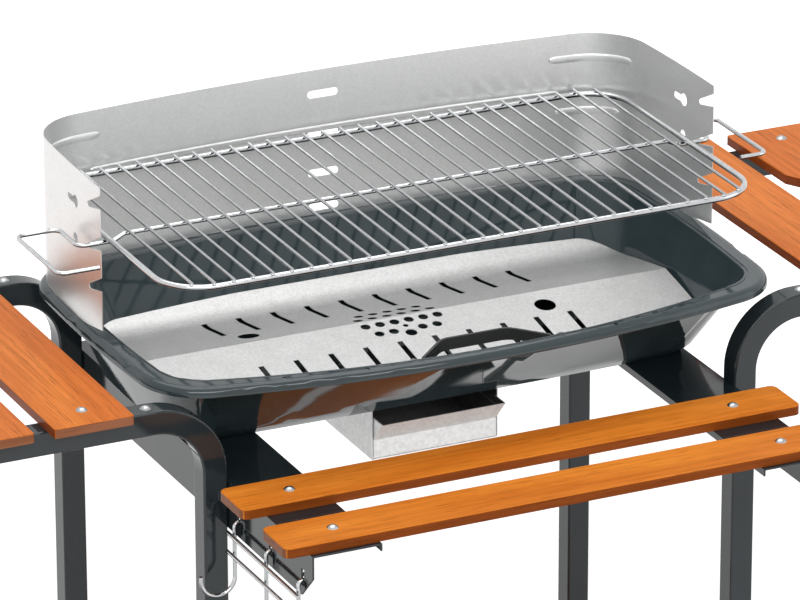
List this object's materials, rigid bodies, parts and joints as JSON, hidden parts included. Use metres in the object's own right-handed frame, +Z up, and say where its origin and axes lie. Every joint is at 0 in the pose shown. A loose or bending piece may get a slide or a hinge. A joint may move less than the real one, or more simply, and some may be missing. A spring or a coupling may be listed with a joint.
{
  "type": "charcoal grill",
  "caption": "Charcoal grill with an enamelled fire bowl, wind screen and lift-out wire grid on a wheeled tube trolley with slatted wooden shelves, an ash drawer and a hook rack.",
  "frame": {"origin": "on the floor, below the middle of the overall box", "axes": "+X to the right end of the fire bowl, -Y to the front where the cook stands, +Z up"},
  "size_m": [1.164, 0.6346, 0.958],
  "materials": {
    "enamel": "gloss enamel",
    "tube_paint": "semi-gloss paint",
    "bar_paint": "semi-gloss paint",
    "handle_paint": "satin paint",
    "galvanised": "zinc coated sheet",
    "wood": "varnished",
    "chrome": "bright plated wire",
    "zinc": "zinc plated",
    "black_plastic": "moulded",
    "tyre": "moulded"
  },
  "bodies": {
    "trolley": {"fire_bowl": "enamel", "leg_front_left": "tube_paint", "leg_front_right": "tube_paint", "leg_rear_left": "tube_paint", "leg_rear_right": "tube_paint", "lower_rail_left": "tube_paint", "lower_rail_right": "tube_paint", "bar_left": "bar_paint", "bar_right": "bar_paint", "bowl_handle": "handle_paint", "wind_screen": "galvanised", "ash_box": "galvanised", "front_plank_back": "wood", "front_plank_front": "wood", "left_plank_inner": "wood", "left_plank_outer": "wood", "right_plank_inner": "wood", "right_plank_outer": "wood", "lower_plank_front": "wood", "lower_plank_middle": "wood", "lower_plank_back": "wood", "plank_screws": "zinc", "arm_screws": "zinc", "frame_bolts": "zinc", "bowl_screws": "zinc", "handle_rivets": "zinc", "axle": "zinc", "arm_plugs": "black_plastic", "leg_plugs": "black_plastic", "foot_caps": "black_plastic", "axle_caps": "black_plastic"},
    "grid": {"grid_frame": "chrome", "grid_bars": "chrome", "grid_rod": "chrome"},
    "coal_plate": {"charcoal_plate": "galvanised"},
    "drawer": {"ash_drawer": "galvanised"},
    "rack": {"rack_hooks": "chrome", "rack_rods": "chrome"},
    "front_wheel": {"wheel_front": "black_plastic", "tyre_front": "tyre"},
    "rear_wheel": {"wheel_rear": "black_plastic", "tyre_rear": "tyre"}
  },
  "joints": [
    {"name": "grid_slide", "type": "slide", "parent": "trolley", "child": "grid", "axis": [0, -0.9397, 0.342], "range_m": [0, 0.3]},
    {"name": "plate_lift", "type": "slide", "parent": "trolley", "child": "coal_plate", "axis": [0, 0, 1], "range_m": [0, 0.05]},
    {"name": "drawer_slide", "type": "slide", "parent": "trolley", "child": "drawer", "axis": [0, -1, 0], "range_m": [0, 0.14]},
    {"name": "rack_hinge", "type": "hinge", "parent": "trolley", "child": "rack", "pos_m": [-0.271, -0.21925, 0.669], "axis": [0, 1, 0], "range_deg": [0, 35]},
    {"name": "front_wheel_spin", "type": "hinge", "parent": "trolley", "child": "front_wheel", "pos_m": [-0.29, -0.13725, 0.075], "axis": [0, 1, 0], "continuous": true},
    {"name": "rear_wheel_spin", "type": "hinge", "parent": "trolley", "child": "rear_wheel", "pos_m": [-0.29, 0.29075, 0.075], "axis": [0, 1, 0], "continuous": true}
  ]
}
